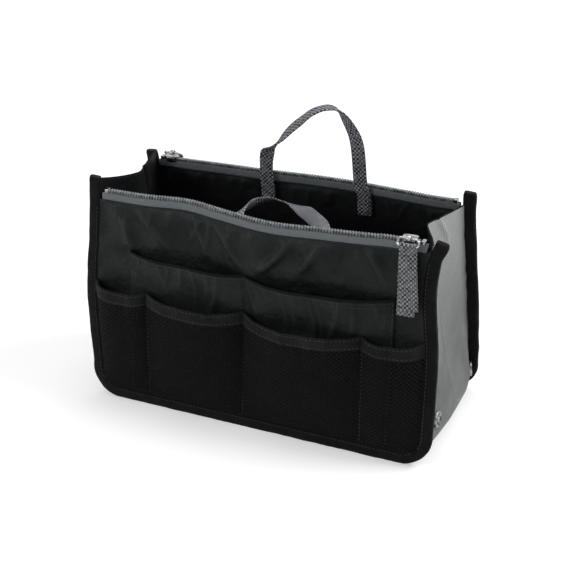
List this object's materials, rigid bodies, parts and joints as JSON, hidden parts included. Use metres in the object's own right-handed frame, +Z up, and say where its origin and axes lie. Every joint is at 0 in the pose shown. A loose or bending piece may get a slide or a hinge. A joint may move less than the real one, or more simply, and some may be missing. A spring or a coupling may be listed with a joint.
{
  "type": "purse organizer insert",
  "caption": "Standing fabric purse insert: two zipped, bound sides with nylon and net pockets, folding ends and base, webbing handles and snaps that draw the ends in.",
  "frame": {"origin": "centre of the footprint, on the surface that it stands on", "axes": "+X along the insert, +Y towards its back, +Z up"},
  "size_m": [0.28, 0.1374, 0.2247],
  "materials": {
    "black_nylon": "smooth thin nylon with soft wrinkles and a dull sheen",
    "black_binding": "ribbed binding tape, matt",
    "black_net": "fine diamond net, open",
    "grey_twill": "fine grey twill outside, black inside",
    "grey_webbing": "salt and pepper woven webbing",
    "grey_zip_tape": "woven zip tape",
    "zip_teeth": "moulded coil teeth, satin",
    "bright_metal": "nickel plate, lightly worn"
  },
  "bodies": {
    "trunk": {"right_gusset_middle": "grey_twill", "left_gusset_middle": "grey_twill", "base_middle": "black_nylon"},
    "front_side": {"front_binding": "black_binding", "front_panel": "black_nylon", "front_lining": "black_nylon", "front_zip_tape_outer": "grey_zip_tape", "front_zip_tape_inner": "grey_zip_tape", "front_zip_chain": "zip_teeth", "front_zip_stop_left": "bright_metal", "front_zip_stop_right": "bright_metal", "front_pocket_panel": "black_nylon", "front_pocket_piping": "black_binding", "front_mesh_panel": "black_net", "front_mesh_hem": "black_binding", "front_handle_end_left": "grey_webbing", "front_handle_end_right": "grey_webbing", "right_gusset_front": "grey_twill", "left_gusset_front": "grey_twill", "base_front": "black_nylon", "right_front_snap_stud": "bright_metal", "right_front_snap_cap": "bright_metal", "left_front_snap_stud": "bright_metal", "left_front_snap_cap": "bright_metal"},
    "front_handle": {"front_handle": "grey_webbing"},
    "front_slider": {"front_zip_slider": "bright_metal"},
    "front_pull": {"front_pull_ring": "bright_metal", "front_pull_tab": "grey_webbing"},
    "back_side": {"back_binding": "black_binding", "back_panel": "black_nylon", "back_lining": "black_nylon", "back_zip_tape_outer": "grey_zip_tape", "back_zip_tape_inner": "grey_zip_tape", "back_zip_chain": "zip_teeth", "back_zip_stop_left": "bright_metal", "back_zip_stop_right": "bright_metal", "back_pocket_panel": "black_nylon", "back_pocket_piping": "black_binding", "back_mesh_panel": "black_net", "back_mesh_hem": "black_binding", "back_handle_end_left": "grey_webbing", "back_handle_end_right": "grey_webbing", "right_gusset_back": "grey_twill", "left_gusset_back": "grey_twill", "base_back": "black_nylon", "right_back_snap_socket": "bright_metal", "right_back_snap_cap": "bright_metal", "left_back_snap_socket": "bright_metal", "left_back_snap_cap": "bright_metal"},
    "back_handle": {"back_handle": "grey_webbing"},
    "back_slider": {"back_zip_slider": "bright_metal"},
    "back_pull": {"back_pull_ring": "bright_metal", "back_pull_tab": "grey_webbing"}
  },
  "joints": [
    {"name": "front_side_fold", "type": "hinge", "parent": "trunk", "child": "front_side", "pos_m": [0, -0.036, 0.165], "axis": [1, 0, 0], "range_deg": [0, 7]},
    {"name": "back_side_fold", "type": "hinge", "parent": "trunk", "child": "back_side", "pos_m": [0, 0.036, 0.165], "axis": [1, 0, 0], "range_deg": [-7, 0]},
    {"name": "front_handle_swing", "type": "hinge", "parent": "front_side", "child": "front_handle", "pos_m": [0.015, -0.03327, 0.16], "axis": [1, 0, 0], "range_deg": [0, 100]},
    {"name": "back_handle_swing", "type": "hinge", "parent": "back_side", "child": "back_handle", "pos_m": [0.01, 0.03327, 0.16], "axis": [1, 0, 0], "range_deg": [0, 75]},
    {"name": "front_zip_run", "type": "slide", "parent": "front_side", "child": "front_slider", "axis": [1, 0, 0], "range_m": [-0.231, 0], "deforming": ["front_pull_tab"]},
    {"name": "back_zip_run", "type": "slide", "parent": "back_side", "child": "back_slider", "axis": [1, 0, 0], "range_m": [0, 0.231], "deforming": ["back_pull_tab"]},
    {"name": "front_pull_swing", "type": "hinge", "parent": "front_slider", "child": "front_pull", "pos_m": [0.114, -0.0422, 0.16955], "axis": [1, 0, 0], "range_deg": [-150, 0]},
    {"name": "back_pull_swing", "type": "hinge", "parent": "back_slider", "child": "back_pull", "pos_m": [-0.114, 0.0422, 0.16955], "axis": [1, 0, 0], "range_deg": [0, 150]}
  ],
  "couplings": [
    {"joint": "back_side_fold", "follows": "front_side_fold", "ratio": -1}
  ]
}
